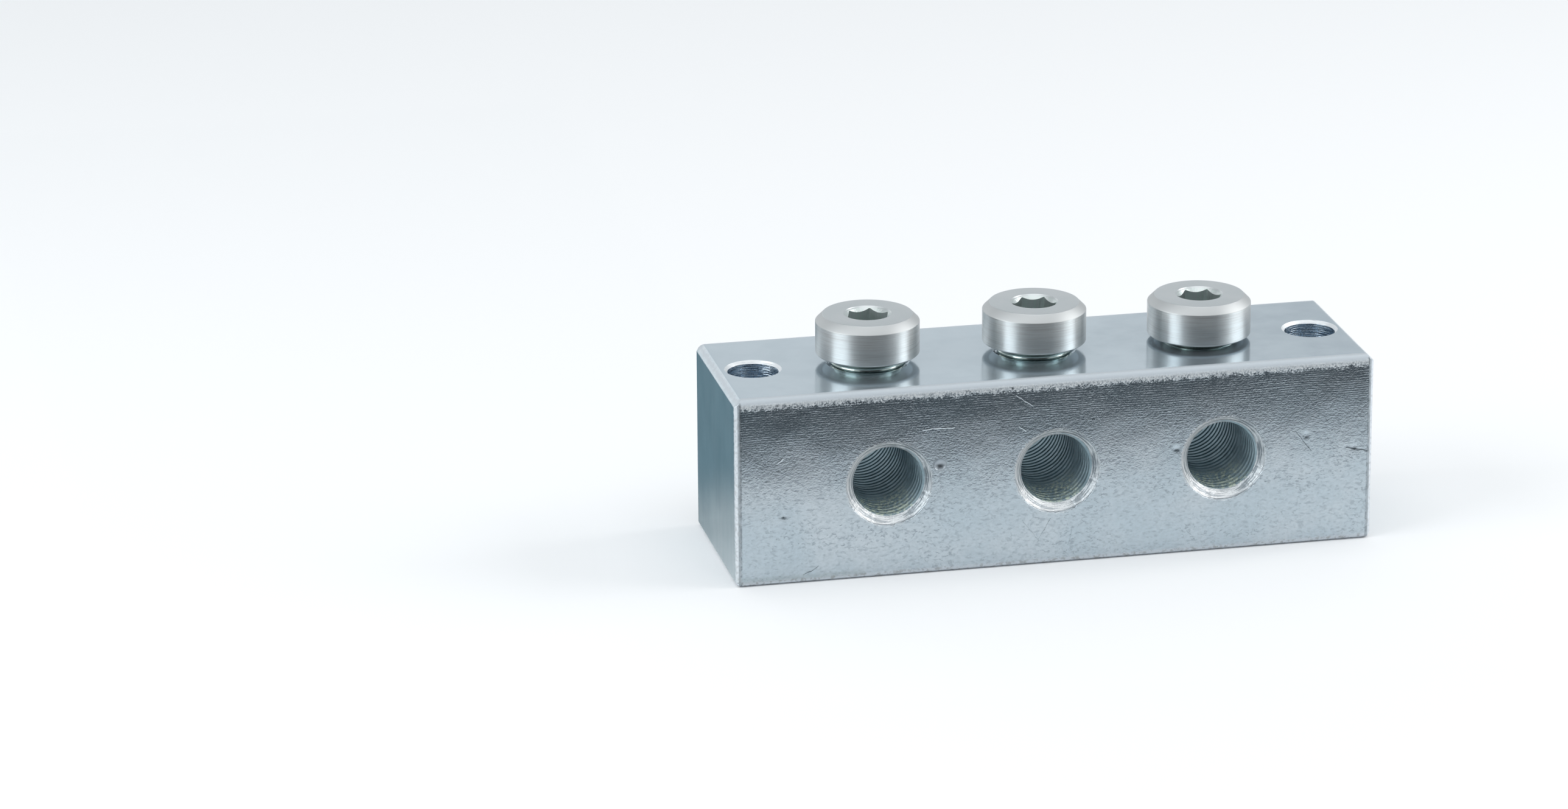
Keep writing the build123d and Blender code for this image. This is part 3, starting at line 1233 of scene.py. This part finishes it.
# %% Soft lights
def softbox(name, spot, target, size, radiance, colour=(1, 1, 1), wide=1.0):
    """An area light: spot, target and size, its radiance, and how much wider than high it is."""
    data = bpy.data.lights.new(name, "AREA")
    data.shape, data.size, data.size_y, data.color = "RECTANGLE", size * wide * mm, size * mm, colour
    data.energy = radiance * pi * wide * (size * mm) ** 2
    lamp = bpy.data.objects.new(name, data)
    bpy.context.collection.objects.link(lamp)
    lamp.location = Vector(spot) * mm
    lamp.rotation_euler = (Vector(target) - Vector(spot)).to_track_quat("-Z", "Y").to_euler()


softbox("top_light", (-40, -160, 700), (0, 0, 0), 700, 0.85)
softbox("back_light", (230, 800, 310), (230, 0, 20), 620, 0.2, (0.93, 0.97, 1.0), wide=1.5)
softbox("back_left_light", (-470, 790, 230), (-100, 0, 20), 470, 0.6)
softbox("left_light", (-520, -120, 300), (0, 0, 20), 420, 2.6, (0.97, 0.99, 1.0))
softbox("right_light", (520, -60, 320), (0, 0, 20), 420, 2.8, (1.0, 0.99, 0.98))

world = bpy.data.worlds.new("pale_room")
bpy.context.scene.world = world
world.use_nodes = True
tree = world.node_tree
tree.nodes.clear()
seen = add(tree, "ShaderNodeBackground", Color=(1, 1, 1, 1), Strength=1.0)
room = add(tree, "ShaderNodeBackground", Color=(0.93, 0.97, 1, 1), Strength=0.55)
either = add(tree, "ShaderNodeMixShader", {0: add(tree, "ShaderNodeLightPath").outputs["Is Camera Ray"],
                                           1: room.outputs[0], 2: seen.outputs[0]})
add(tree, "ShaderNodeOutputWorld", {0: either.outputs[0]})
bpy.context.scene.view_settings.view_transform = "Standard"

# %% [markdown]
# ## Camera
#
# The camera looks down on the front and the left end with a long lens, which keeps the edges nearly
# parallel. It is tilted up from looking straight down, rolled by a hair, and turned towards the middle.

# %% Camera at the photograph's angle
camera_spot = (-183.777, -708.840, 261.804)
tilt, roll, heading = 71.5397, 0.3543, -12.1288
lens = bpy.data.cameras.new("camera")
lens.sensor_width, lens.lens = 36.0, 136.963
lens.clip_start, lens.clip_end = 0.01, 20.0
camera = bpy.data.objects.new("camera", lens)
bpy.context.collection.objects.link(camera)
camera.location = Vector(camera_spot) * mm
camera.rotation_euler = (radians(tilt), radians(roll), radians(heading))
bpy.context.scene.camera = camera
